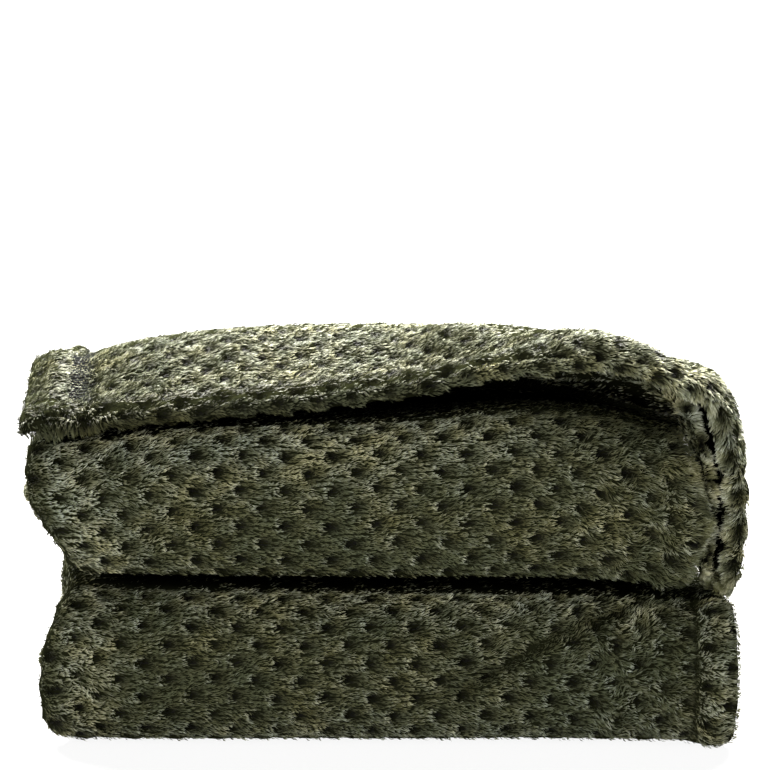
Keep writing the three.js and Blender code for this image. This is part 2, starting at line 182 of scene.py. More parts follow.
def leg_of(leg):
    """Legs 0-1, 2-3 and 4-5 are plies 1, 2 and 3; 1-2 and 3-4 are the folds at
    the right and the left. Share is 0 at the left end, ply is 1, 0 or -1."""
    part = np.clip(np.floor(leg), 0, 4)
    angle = (leg - part) * np.pi
    turns = [part == 0, part == 1, part == 2, part == 3]
    share = np.select(turns, [leg, 1.0, 3 - leg, 0.0], leg - 4)
    ply = np.select(turns, [1.0, 0.5 + 0.5 * np.cos(angle), 0.0, -0.5 + 0.5 * np.cos(angle)], -1.0)
    out = np.select([part == 1, part == 3], [np.sin(angle), -np.sin(angle)], 0.0)
    return share, ply, out


def levels(x, d):
    """The five layers' boundaries, from the floor up: one row for each."""
    seam, crown, flap, top = curves(ACROSS, "x", "seam crown flap top", x)
    back = smoothstep(d, FRONT_TURN, REAR_TURN)
    front = np.array([0 * x, seam / 2, seam, (seam + crown) / 2, crown, crown + flap])
    rear = top * np.arange(6)[:, None] / 5
    found = lerp(front, rear, back)
    found[0] = (THICKNESS / 2 - INNER_PLY * found[1]) / OUTER_PLY
    return found


def leg_ends(leg, ply, course):
    """Where each ply's straight stretch ends at the left and the right, and how
    far the side folds reach past that."""
    left, tuck, right, push, reach = curves(ALONG, "course", "left tuck right push reach", course)
    left += tuck * np.clip(1 - ply, 0, 1)
    right += push * np.clip(-ply, 0, 1)
    turn_room = reach + THICKNESS / 2
    return (
        left + np.where(leg <= 1, HEM_NOSE, turn_room),
        right - np.where(leg >= 4, HEM_NOSE, turn_room),
        reach,
    )


def flap_point(leg, share):
    """Points of the flap, which rises where its own plies lie under it and bends
    down over the stack's right end."""
    across, ply, out = leg_of(leg)
    d = lerp(hermite(FLAP_EDGE, "leg", "d", leg), REAR_TURN, share)
    past, turn = curves(DROOP, "d", "past turn", d)
    turn *= math.pi / 2
    left, _, reach = leg_ends(leg, ply, share)
    ply3_end = FULL_RIGHT + reach - 2 * (BEND_X + past - FULL_RIGHT)
    right = np.where(leg < 4, BEND_X + past, ply3_end)
    s = lerp(left, right, across) + reach * out
    x = np.minimum(s, BEND_X)
    level = levels(x, d)
    pitch = (level[5] - level[4]) / 3
    past_ply3 = smoothstep(x, ply3_end + PLY3_END_NEAR, ply3_end + PLY3_END_FAR)
    over3 = smoothstep(d, PLY3_EDGE - EDGE_FAR, PLY3_EDGE - EDGE_NEAR) * (1 - past_ply3)
    edge2 = hermite(PLY2_EDGE, "x", "d", x)
    over2 = smoothstep(d, edge2 - EDGE_FAR, edge2 - EDGE_NEAR)
    low, mid = 0.5, 0.5 + over3
    high = mid + over2 * (1 + SLACK * past_ply3)
    step = np.where(ply > 0, lerp(mid, high, ply), lerp(mid, low, -ply))
    raised = hermite(ACROSS, "x", "lift", x) * (1 - smoothstep(d, LIFT_START, LIFT_END))
    lift = raised - SAG * (1 - smoothstep(d, SAG_START, SAG_END))
    z = level[4] + lift + pitch * step
    ply1_z = level[4] + lift + pitch * high
    radius = BEND_ARC / np.maximum(turn, 1e-4)
    angle = np.minimum((s - BEND_X) / BEND_ARC, 1) * turn
    straight = np.maximum(s - BEND_X - BEND_ARC, 0)
    own = radius - (ply1_z - z)
    hang = straight / HANG
    bow = turn * (BOW_OUT * np.sin(np.pi * np.minimum(hang, 1)) - BOW_IN * hang**3)
    bends = (s > BEND_X) & (turn >= 1e-4)
    bent_x = BEND_X + own * np.sin(angle) + straight * np.cos(angle) + bow
    bent_z = ply1_z - radius + own * np.cos(angle) - straight * np.sin(angle)
    return np.where(bends, bent_x, s), d, np.where(bends, bent_z, z)


def trough_at(x, course):
    """How deep the slanting trough in the lower fold is."""
    middle_x = TROUGH_X - (course - TROUGH_COURSE) * TROUGH_RUN
    across = (x - middle_x) / TROUGH_HALF_WIDTH
    return TROUGH_DEPTH * comes_and_goes(course, TROUGH_COMES, TROUGH_GOES) * np.exp(-across * across)


# Each course's lower boundary, or for a fold the one at its middle.
LAYER_BELOW = np.array([0, 4, 3, 3, 2, 2, 1, 1, 0])


def stack_point(leg, course):
    """Points of the layers under the flap and of the folds that join them."""
    across, ply, out = leg_of(leg)
    left, right, reach = leg_ends(leg, ply, course)
    x = lerp(left, right, across) + reach * out
    part = np.clip(np.floor(course), 0, 8).astype(int)
    share = course - part
    below = LAYER_BELOW[part]
    column = np.arange(len(x))
    shift = np.where(part < 6, hermite(ACROSS, "x", "upFront", x), hermite(ACROSS, "x", "lowFront", x))

    # The folds at the front and the rear.
    at_front = (part == 3) | (part == 7)
    turn_at = np.where(at_front, FRONT_TURN + shift, REAR_TURN)
    level = levels(x, np.where(at_front, FRONT_TURN, REAR_TURN))
    rest = (1.5 - np.where(at_front, ply, -ply)) / 3
    angle = np.pi * (0.5 - share)
    outer = np.clip((rest - INNER_PLY) / (OUTER_PLY - INNER_PLY), 0, 1)
    power = lerp(ELLIPSE, np.where(angle > 0, ROUND, SQUARE), outer)
    c, s = np.abs(np.cos(angle)), np.abs(np.sin(angle))
    radius = (c**power + s**power) ** (-1 / power)
    trough = np.where(part == 7, trough_at(x, course) * np.maximum(rest - INNER_PLY, 0), 0)
    half = level[below + np.where(angle > 0, 1, -1), column] - level[below, column]
    forward = np.where(at_front, -1, 1) * BULGE_REACH * (rest - trough) * c * radius
    fold_d = turn_at + forward
    fold_z = level[below, column] + half * rest * s * radius

    # The layers between them.
    to_front = (part == 2) | (part == 6)
    front = FRONT_TURN + shift
    rear = np.where(part == 8, hermite(REAR_EDGE, "leg", "d", leg), REAR_TURN)
    d = np.where(to_front, lerp(rear, front, share), lerp(front, rear, share))
    level = levels(x, d)
    up = np.where(to_front, -ply, ply)
    low, high = level[below, column], level[below + 1, column]
    is_fold = part % 2 == 1
    return x, np.where(is_fold, fold_d, d), np.where(is_fold, fold_z, lerp(low, high, (up + 1.5) / 3))


def middle(leg, course):
    """Points of the cloth's middle surface, one row each."""
    in_flap = course < 1
    flap = np.array(flap_point(leg, np.minimum(course, 1)))
    stack = np.array(stack_point(leg, np.maximum(course, 1)))
    found = np.where(in_flap, flap, stack).T
    found[:, 1] -= DEPTH / 2
    return found - CENTRE


# How far to either side a direction is measured, in legs and courses.
SLOPE_STEP = 1e-3


def unit(vectors):
    return vectors / np.maximum(np.linalg.norm(vectors, axis=-1, keepdims=True), 1e-9)


def directions(leg, course):
    """Unit directions along the leg, along the course and out of ply 1's upper face."""
    legs = [np.clip(leg + step, 0, 5) for step in (-SLOPE_STEP, SLOPE_STEP)]
    courses = [np.clip(course + step, 0, 9) for step in (-SLOPE_STEP, SLOPE_STEP)]
    along_leg = unit(middle(legs[1], course) - middle(legs[0], course))
    along_course = unit(middle(leg, courses[1]) - middle(leg, courses[0]))
    return along_leg, along_course, unit(np.cross(along_leg, along_course))


# Grid lines: the solid's own, and finer ones where the cloth is seen.

LEG_HEM = HEM_WIDTH / STRIP_WIDTH
COURSE_HEM = HEM_WIDTH / LAYER_LENGTH
# How wide a fine cell is, and how long a side fold and a front or rear fold are.
FINE_MM = 3.5
FOLD_ARC = 25.0
TURN_ARC = 130.0
UPPER, LOWER = 0, 1


def lines(stops):
    """Grid lines from a table of (to, count), starting at 0."""
    found, at = [0.0], 0.0
    for to, count in stops:
        found += [lerp(at, to, (i + 1) / count) for i in range(count)]
        at = to
    return np.array(found)


LEGS = lines([
    (LEG_HEM, 2), (0.5, 2), (0.72, 2), (1, 8), (2, 4), (2.28, 7), (2.5, 2), (3, 2), (4, 4),
    (5 - LEG_HEM, 3), (5, 2),
])
COURSES = lines([
    (COURSE_HEM, 2), (1, 9), (2, 7), (2.7, 2), (3, 2), (4, 9), (4.3, 2), (5, 2), (6, 7), (7, 3),
    (8, 9), (9 - COURSE_HEM, 3), (9, 2),
])


def divide(coarse, length_of):
    """Where each coarse line falls among the fine ones, and the fine lines."""
    steps = list(zip(coarse[:-1], coarse[1:]))
    counts = [max(1, round((b - a) * length_of(a) / FINE_MM)) for a, b in steps]
    fine = [np.linspace(a, b, n, endpoint=False) for (a, b), n in zip(steps, counts)]
    return np.concatenate([[0], np.cumsum(counts)]), np.concatenate(fine + [coarse[-1:]])


LEG_STARTS, FINE_LEGS = divide(LEGS, lambda leg: FOLD_ARC if int(leg) % 2 else STRIP_WIDTH)
COURSE_STARTS, FINE_COURSES = divide(COURSES, lambda c: TURN_ARC if int(c) % 2 else LAYER_LENGTH)


# The pattern of the pile.

# The pile stands in tufts combed to the right, in rows, every other row moved by
# half a tuft. A dimple lies at the start of each tuft, and its end stands up.
ROW_PITCH = 21.0
TUFT_PITCH_PLY1 = 23.0
TUFT_PITCH_PLY3 = 27.3
# Where a dimple lies on ply 1's hem, and on ply 3 at each bulge's front.
PLY1_DIMPLE_X, PLY1_DIMPLE_OFF = -69.7, 3.0
UPPER_DIMPLE_X, UPPER_ROW_OFF = 13.8, 20.3
LOWER_DIMPLE_X, LOWER_ROW_OFF = -86.0, 4.9
# The leg where ply 3 begins, the course where the lower bulge does, and the
# courses of the two bulges' fronts.
PLY3_FROM, LOWER_FROM = 3.5, 5.5
UPPER_FRONT, LOWER_FRONT = 3.5, 7.5
# How far the rows wander, in tufts and rows, and over what distance.
WARP, WARP_SIZE = 0.07, 80.0
# A dimple's reach to either side in tufts, and up and down in rows; how many times
# larger it is on the front hem; and what share of its size is left to chance.
PIT_LEFT, PIT_RIGHT, PIT_HALF_HEIGHT = 0.085, 0.145, 0.115
HEM_PIT, PIT_UNEVENNESS = 2.0, 0.25
# How deep it is, how much of that is chance, what shaggy pile takes off it, and
# how shallow it gets.
PIT_DEEP, PIT_CHANCE, PIT_SHAG_LOSS, PIT_LEAST = 0.85, 0.15, 0.25, 0.1
# After how many rows and tufts the chance in the dimples repeats.
PIT_ROWS, PIT_TUFTS = 53, 59

# Places where the pile is special: the leg and the course of each place's middle,
# how far it reaches along each, and how strongly.
SPOTS = {
    # Shaggy, with its rows broken up.
    "shag": [
        (4.90, 3.45, 0.11, 0.40, 1.0),
        (4.12, 3.25, 0.08, 0.22, 0.6),
        (4.86, 7.40, 0.12, 0.50, 1.0),
        (4.70, 7.25, 0.10, 0.20, 0.7),
        (4.02, 7.60, 0.07, 0.40, 0.7),
        (1.50, 0.20, 0.80, 0.50, 0.8),
        (0.50, 0.02, 0.60, 0.06, 0.5),
        (0.06, 0.20, 0.10, 0.30, 0.8),
    ],
    # Painted light: more of the pile's pale tips showing where more light falls on it,
    # as on the flap's top, the hanging strips, the left folds and the bulges' upper fronts.
    "painted_light": [
        (0.90, 0.00, 0.30, 0.30, 0.90),
        (2.10, 0.00, 0.25, 0.30, 0.90),
        (0.70, 0.00, 0.60, 0.05, 0.45),
        (4.03, 3.30, 0.07, 0.60, 0.85),
        (4.03, 7.40, 0.05, 0.50, 0.50),
        (0.45, 0.60, 0.60, 0.42, 0.50),
        (4.35, 3.15, 0.55, 0.22, 0.80),
        (4.50, 7.10, 0.50, 0.17, 0.70),
        (4.50, 7.85, 0.50, 0.15, 0.40),
        (4.97, 7.40, 0.03, 0.50, 0.50),
        (4.955, 7.35, 0.012, 0.25, 0.90),
    ],
    # Painted shade: pile darkened where it turns away from the light, as on the left of the flap's
    # front hem.
    "painted_shade": [
        (0.20, 0.03, 0.35, 0.07, 0.55),
        (4.95, 3.05, 0.20, 0.20, 0.45),
    ],
    # Painted sheen: greyer and cooler low on the lower bulge's front, as the pale floor's light gives
    # it.
    "cool_sheen": [
        (4.78, 7.55, 0.14, 0.22, 0.6),
        (4.50, 7.95, 0.60, 0.14, 0.4),
    ],
    # Bushing out over the gap beside it.
    "bushy": [
        (0.89, 0.00, 0.17, 0.03, 1.0),
        (2.12, 0.00, 0.19, 0.03, 1.0),
        (5.00, 3.50, 0.02, 0.50, 1.0),
        (5.00, 4.15, 0.03, 0.35, 1.2),
        (0.03, 0.00, 0.10, 0.04, 1.0),
    ],
}
# The flattened stitched strip inside the side hem on the flap, in millimetres
# from the edge, and the stitched groove inside ply 3's hem on the lower bulge.
SEAM_STARTS, SEAM_ENDS = (17.0, 19.0), (30.0, 32.0)
SEAM_COMES, SEAM_GOES = (0.11, 0.17), (1.2, 1.4)
GROOVE_IN, GROOVE_HALF_WIDTH = 24.0, 1.8
GROOVE_COMES, GROOVE_GOES = (6.95, 7.05), (7.7, 7.85)
CREASE_HALF_WIDTH = 9.0
# How far the front hem reaches, in its own widths, and up to which leg it shows.
HEM_FADE, HEM_SHOWS_TO = 1.3, 2.3

# Soft noise: how many waves, how much slower to quicker they are, and what sum of
# them counts as 1.
WAVES, WAVE_SHARES, WAVE_SUM = 10, (0.6, 1.6), 4
# How many legs and courses apart the flat cloth is measured.
FLAT_LEG_STEP, FLAT_COURSE_STEP = 0.05, 0.02


def smooth_noise(points, size, seed):
    """Soft noise from -1 to 1 at points in millimetres, a sum of plane waves."""
    rng = np.random.default_rng(seed)
    total = np.zeros(len(points))
    for _ in range(WAVES):
        wave = unit(rng.normal(size=(1, 3)))[0] * (2 * math.pi / size) * rng.uniform(*WAVE_SHARES)
        total += np.sin(points @ wave + rng.uniform(0, 2 * math.pi))
    return np.clip(total / WAVE_SUM, -1, 1)


def blend_corners(values, row, column, s, t):
    """A grid's value inside a cell, s along the columns and t along the rows."""
    if values.ndim > 2:
        s, t = s[:, None], t[:, None]
    top = lerp(values[row, column], values[row, column + 1], s)
    bottom = lerp(values[row + 1, column], values[row + 1, column + 1], s)
    return lerp(top, bottom, t)


def measure_flat():
    """How far across and along the flat cloth each place of a regular grid lies, in
    millimetres, measured on the folded middle surface."""
    legs = np.linspace(0, 5, round(5 / FLAT_LEG_STEP) + 1)
    courses = np.linspace(0, 9, round(9 / FLAT_COURSE_STEP) + 1)
    leg, course = np.meshgrid(legs, courses)
    points = middle(leg.ravel(), course.ravel()).reshape(*leg.shape, 3)
    across = np.linalg.norm(np.diff(points, axis=1), axis=2)
    along = np.linalg.norm(np.diff(points, axis=0), axis=2)
    across = np.pad(np.cumsum(across, axis=1), ((0, 0), (1, 0))) + points[:, :1, 0]
    return across, np.pad(np.cumsum(along, axis=0), ((1, 0), (0, 0)))


FLAT_ACROSS, FLAT_ALONG = measure_flat()


def on_flat(measured, leg, course):
    """The flat cloth's measure at each place."""
    x, y = leg / FLAT_LEG_STEP, course / FLAT_COURSE_STEP
    i = np.clip(y.astype(int), 0, measured.shape[0] - 2)
    j = np.clip(x.astype(int), 0, measured.shape[1] - 2)
    return blend_corners(measured, i, j, x - j, y - i)


def spots(rows, leg, course):
    """How strongly a table's soft spots act at each place."""
    found = np.zeros_like(leg)
    for at_leg, at_course, leg_reach, course_reach, amount in rows:
        away = ((leg - at_leg) / leg_reach) ** 2 + ((course - at_course) / course_reach) ** 2
        found = np.maximum(found, amount * np.exp(-away))
    return found


def pattern(leg, course):
    """What the pattern is at each place: the tuft and row numbers, whole at a
    dimple of an even row, and how much of each special zone lies there."""
    u, v = on_flat(FLAT_ACROSS, leg, course), on_flat(FLAT_ALONG, leg, course)
    on_ply3 = leg > PLY3_FROM
    lower = course > LOWER_FROM
    x = middle(leg, course)[:, 0]
    v_front = on_flat(FLAT_ALONG, leg, np.where(lower, LOWER_FRONT, UPPER_FRONT))
    row_off = np.where(lower, LOWER_ROW_OFF, UPPER_ROW_OFF)
    dimple_x = np.where(lower, LOWER_DIMPLE_X, UPPER_DIMPLE_X) - CENTRE[0]
    tuft3 = (x - dimple_x) / TUFT_PITCH_PLY3
    tuft1 = (u - PLY1_DIMPLE_X + CENTRE[0]) / TUFT_PITCH_PLY1
    row = np.where(on_ply3, v - v_front + row_off, v - PLY1_DIMPLE_OFF) / ROW_PITCH
    flat = np.stack([u, v, np.zeros_like(u)], axis=1)

    found = {name: spots(rows, leg, course) for name, rows in SPOTS.items()}
    warp = WARP * (1 + found["shag"])
    from_left, from_right = leg * STRIP_WIDTH, (5 - leg) * STRIP_WIDTH
    seam = comes_and_goes(from_left, SEAM_STARTS, SEAM_ENDS)
    groove = np.exp(-(((from_right - GROOVE_IN) / GROOVE_HALF_WIDTH) ** 2))
    crease_x = TROUGH_X - (course - TROUGH_COURSE) * TROUGH_RUN - CENTRE[0]
    crease = np.exp(-(((x - crease_x) / CREASE_HALF_WIDTH) ** 2)) * (leg > 4)
    return found | {
        "tuft": np.where(on_ply3, tuft3, tuft1) + warp * smooth_noise(flat, WARP_SIZE, SEED),
        "row": row + warp * smooth_noise(flat, WARP_SIZE, SEED + 1),
        "along": v,
        "hem": (1 - smoothstep(course, 0, HEM_FADE * COURSE_HEM)) * (leg < HEM_SHOWS_TO),
        "seam": seam * comes_and_goes(course, SEAM_COMES, SEAM_GOES),
        "groove": groove * comes_and_goes(course, GROOVE_COMES, GROOVE_GOES),
        "crease": crease * comes_and_goes(course, TROUGH_COMES, TROUGH_GOES),
    }


def pits(p):
    """How deep in a dimple each place lies, from 0 to 1. A dimple is an oval with
    a steep wall at the tuft's end on its left and a long slope on its right."""
    found = np.zeros_like(p["tuft"])
    lot = np.random.default_rng(SEED).uniform(-1, 1, size=(3, PIT_ROWS, PIT_TUFTS))
    size = 1 + (HEM_PIT - 1) * p["hem"]
    for shift in (0.0, 0.5):
        i = np.round(p["row"] + shift).astype(int)
        j = np.round(p["tuft"] + shift).astype(int)
        deep, wide, tall = lot[:, i % PIT_ROWS, j % PIT_TUFTS] * (1 + p["shag"])
        right, below = p["tuft"] + shift - j, p["row"] + shift - i
        reach = np.where(right < 0, PIT_LEFT * size, PIT_RIGHT) * (1 + PIT_UNEVENNESS * wide)
        high = PIT_HALF_HEIGHT * size * (1 + PIT_UNEVENNESS * tall)
        pit = np.clip(PIT_DEEP + PIT_CHANCE * deep - PIT_SHAG_LOSS * p["shag"], PIT_LEAST, 1)
        found = np.maximum(found, pit * np.exp(-((right / reach) ** 2) - (below / high) ** 2))
    return found


# How far a tuft reaches up and down from its row, in rows. Half a row on lies the
# next one, moved by half a tuft.
TUFT_REACH = 0.25


def tuft_place(p):
    """The place along the tuft, from 0 to 1, and across its row, from -1 to 1."""
    from_even = p["row"] - np.round(p["row"])
    from_odd = p["row"] - 0.5 - np.round(p["row"] - 0.5)
    even = np.abs(from_even) < TUFT_REACH
    phase = np.where(even, p["tuft"] % 1.0, (p["tuft"] + 0.5) % 1.0)
    return phase, np.where(even, from_even, from_odd) / TUFT_REACH


# How deep the dimples are, in millimetres, and by what share deeper on the front hem.
RELIEF, HEM_RELIEF = 3.2, 0.9
# Where along a tuft its swell comes and goes, and how high the rest of it stands.
SWELL_COMES, SWELL_GOES, LOW_TUFT = (0.1, 0.8), (0.86, 1.0), 0.6
# How deep the stitched seam, the stitched groove and the crease are.
SEAM_DEPTH, GROOVE_DEPTH, CREASE_DEPTH = 1.6, 2.6, 2.5
# How far the shaggy pile's lumps rise, and how large they are.
LUMP, LUMP_SIZE = 1.1, 26.0


def dip(p, points):
    """How far the cloth's face lies below its highest, in millimetres."""
    phase, off = tuft_place(p)
    swell = comes_and_goes(phase, SWELL_COMES, SWELL_GOES) * (1 - off**2)
    knit = RELIEF * (1 - lerp(LOW_TUFT, 1, swell) * (1 - pits(p)))
    knit *= (1 - p["seam"]) * (1 + HEM_RELIEF * p["hem"])
    lump = LUMP * p["shag"] * (1 + smooth_noise(points, LUMP_SIZE, SEED + 2)) / 2
    pressed = SEAM_DEPTH * p["seam"] + GROOVE_DEPTH * p["groove"] + CREASE_DEPTH * p["crease"]
    return knit + lump + pressed


# The cloth as one closed mesh.

# How far the cloth's face lies inside the solid's, which holds the pile too; the
# steps round its edge; and how far in, in legs and courses, the way out of the edge
# is measured from.
INSET = 1.3
RIM_STEPS, EDGE_STEP = 6, 0.02


def hem_rise(off):
    return hermite(HEM_PROFILE, "off", "rise", off)


def halves(leg, course):
    """Half the cloth's thickness above and below its middle, as in the solid."""
    room1, room3 = curves(ALONG, "course", "room1 room3", course)
    left_hem = hem_rise(leg * STRIP_WIDTH)
    right_hem = hem_rise((5 - leg) * STRIP_WIDTH)
    front_hem = hem_rise(course * LAYER_LENGTH) * np.where(leg < 1.5, 1, PRESSED_FRONT_HEM)
    rear_hem = hem_rise((9 - course) * LAYER_LENGTH) * PRESSED_REAR_HEM
    rise1 = np.maximum(np.where(leg < 1, left_hem * room1, 0), np.maximum(front_hem, rear_hem))
    under = np.maximum(front_hem * HEM_UNDERSIDE, 0)
    rise3 = np.where(leg > 4, right_hem * room3, 0)
    return THICKNESS / 2 + HEM_RISE * rise1, THICKNESS / 2 + HEM_RISE * np.maximum(under, rise3)


def nose_direction(leg, course, edge):
    """The direction out of the cloth at its edge."""
    inward = middle(np.clip(leg, EDGE_STEP, 5 - EDGE_STEP), np.clip(course, EDGE_STEP, 9 - EDGE_STEP))
    return unit(edge - inward)


def round_edge(leg, course, angle):
    """Points on the cloth's rounded edge, at an angle up from straight out, and
    the pattern there, which goes on round the edge."""
    edge = middle(leg, course)
    along_leg, _, normal = directions(leg, course)
    nose = nose_direction(leg, course, edge)
    half = np.where(angle > 0, *halves(leg, course))
    p = pattern(leg, course)
    past = half * (math.pi / 2 - angle)
    at_end = (course == 0) | (course == 9)
    p["row"] += np.where(at_end, np.where(course > 4.5, past, -past), 0) / ROW_PITCH
    p["tuft"] += np.where(at_end, 0, np.where(leg > 2.5, past, -past)) / TUFT_PITCH_PLY3
    down = INSET + dip(p, edge)
    up, out = np.sin(angle)[:, None], np.cos(angle)[:, None]
    p["root"] = edge + normal * up * (half - down)[:, None]
    p["root"] += nose * out * (HEM_NOSE - down / 2)[:, None]
    p["normal"] = unit(normal * up + nose * out)
    p["comb"] = np.where(at_end[:, None], along_leg, normal * out - nose * up)
    p["down"] = unit(np.cross(p["normal"], p["comb"]))
    return p


def fine_grid():
    """The cloth's two faces on every fine line, with what lies at each point."""
    leg, course = np.meshgrid(FINE_LEGS, FINE_COURSES)
    shape = leg.shape
    leg, course = leg.ravel(), course.ravel()
    centre = middle(leg, course)
    along_leg, along_course, normal = directions(leg, course)
    p = pattern(leg, course)
    down = INSET + dip(p, centre)
    faces, face_normals = [], []
    for sign, half in zip((1, -1), halves(leg, course)):
        face = centre + normal * (sign * (half - down))[:, None]
        face[:, 2] = np.maximum(face[:, 2], 0)
        faces.append(face.reshape(*shape, 3))
        across, along = (np.gradient(faces[-1], axis=axis) for axis in (1, 0))
        face_normals.append(unit(np.cross(across, along) * sign))
    return {
        "normal": normal.reshape(*shape, 3),
        "along_leg": along_leg.reshape(*shape, 3),
        "along_course": along_course.reshape(*shape, 3),
        "faces": np.array(faces),
        "face_normals": np.array(face_normals),
        "pattern": {key: value.reshape(shape) for key, value in p.items()},
    }


# How far a ray runs before a place counts as open, how high above the face it
# starts, how far the rays lean, how many leave each place, and how many fine lines
# lie from one place to the next.
OPEN_REACH = 30.0
RAY_START = 3.0
RAY_LEAN = 0.45
OPEN_RAYS = 4
RAY_STEP = 2
# The share of rays that makes a cell seen. Faces lower than this rest on the floor.
OPEN_ENOUGH = 0.15
UNDERSIDE = 2.5
# How many fine cells the pile runs on past the open ones, into a gap.
PILE_RUNS_ON = 4


def cloth_tree(grid):
    """The cloth's two faces, for casting rays, on every few fine lines."""
    lasts = len(FINE_COURSES) - 1, len(FINE_LEGS) - 1
    rows, columns = (np.unique([*range(0, last, RAY_STEP), last]) for last in lasts)
    wide, high = len(columns), len(rows)
    corners = np.concatenate([f[np.ix_(rows, columns)].reshape(-1, 3) for f in grid["faces"]])
    i, j = np.meshgrid(np.arange(high - 1), np.arange(wide - 1), indexing="ij")
    first = (i * wide + j).ravel()
    quads = np.stack([first, first + 1, first + wide + 1, first + wide], axis=1)
    quads = np.concatenate([quads, quads + wide * high])
    return BVHTree.FromPolygons(corners.tolist(), quads.tolist(), epsilon=0.0)


def open_share(tree, places, normals, rng):
    """The share of the rays from each place that get away."""
    total = np.zeros(len(places))
    starts = (places + normals * RAY_START).tolist()
    for _ in range(OPEN_RAYS):
        aims = unit(normals + rng.normal(size=normals.shape) * RAY_LEAN).tolist()
        total += [tree.ray_cast(a, b, OPEN_REACH)[0] is None for a, b in zip(starts, aims)]
    return total / OPEN_RAYS


def openness(grid, tree):
    """How open the space in front of each fine cell of each face is, from 0 to 1."""
    found = []
    rng = np.random.default_rng(SEED)
    for face, sign in zip(grid["faces"], (1, -1)):
        centre = ((face[:-1, :-1] + face[1:, 1:]) / 2)[::RAY_STEP, ::RAY_STEP]
        normal = sign * grid["normal"][:-1:RAY_STEP, :-1:RAY_STEP]
        shares = open_share(tree, centre.reshape(-1, 3), normal.reshape(-1, 3), rng)
        shares = np.where(centre[:, :, 2] < UNDERSIDE, 0, shares.reshape(centre.shape[:2]))
        shares = shares.repeat(RAY_STEP, axis=0).repeat(RAY_STEP, axis=1)
        found.append(shares[: len(face) - 1, : len(face[0]) - 1])
    return np.array(found)


def spread(opened):
    """How open the most open fine cell is within a few cells along the course."""
    found = opened.copy()
    for _ in range(PILE_RUNS_ON):
        found[:, 1:] = np.maximum(found[:, 1:], opened[:, :-1])
        found[:, :-1] = np.maximum(found[:, :-1], opened[:, 1:])
        opened = found.copy()
    return found


def coarse_seen(opened):
    """The coarse cells open enough to be seen, and those hemmed in by them."""
    total = np.add.reduceat(opened, COURSE_STARTS[:-1], axis=1)
    total = np.add.reduceat(total, LEG_STARTS[:-1], axis=2)
    cells = np.diff(COURSE_STARTS)[:, None] * np.diff(LEG_STARTS)
    seen = total > OPEN_ENOUGH * cells
    padded = np.pad(seen, ((0, 0), (1, 1), (1, 1))).astype(int)
    beside = padded[:, :-2, 1:-1] + padded[:, 2:, 1:-1] + padded[:, 1:-1, :-2] + padded[:, 1:-1, 2:]
    return seen | (beside >= 3)


def fine_edges(seen):
    """Which edges between rows of coarse cells carry fine points: those beside a
    seen cell and, as the two faces share the cloth's rim, beside one of either."""
    edges = np.pad(seen, ((0, 0), (0, 1), (0, 0))) | np.pad(seen, ((0, 0), (1, 0), (0, 0)))
    edges[:, [0, -1]] = edges[:, [0, -1]].any(axis=0)
    return edges


def cell_outline(side, r, c, across, down):
    """The points round a coarse cell as (fine row, fine column), in order."""
    i0, i1 = COURSE_STARTS[r : r + 2]
    j0, j1 = LEG_STARTS[c : c + 2]
    top, bottom = (1 if fine else j1 - j0 for fine in across[side, r : r + 2, c])
    left, right = (1 if fine else i1 - i0 for fine in down[side, r, c : c + 2])
    outline = [(i0, j) for j in range(j0, j1, top)]
    outline += [(i, j1) for i in range(i0, i1, right)]
    outline += [(i1, j) for j in range(j1, j0, -bottom)]
    outline += [(i, j0) for i in range(i1, i0, -left)]
    return outline


def side_places(starts, fine):
    """The numbers of the fine lines that meet one side of the cloth."""
    found = []
    for a, b, is_fine in zip(starts[:-1], starts[1:], fine):
        found += range(a, b, 1 if is_fine else b - a)
    return found + [starts[-1]]


def rim_places(across, down):
    """The fine points once round the cloth's edge."""
    front, rear = (side_places(LEG_STARTS, across[UPPER, end]) for end in (0, -1))
    left, right = (side_places(COURSE_STARTS, down[UPPER, :, end]) for end in (0, -1))
    places = [(0, j) for j in front[:-1]] + [(i, front[-1]) for i in right[:-1]]
    places += [(right[-1], j) for j in rear[:0:-1]] + [(i, 0) for i in left[:0:-1]]
    return np.array(places)


# The cloth's map has its two faces side by side, and its rim in a strip beside them.
MAP_NAME = "OFBake"
MAP_FACE_WIDTH = 0.48
MAP_RIM_FROM, MAP_RIM_WIDTH = 0.97, 0.025


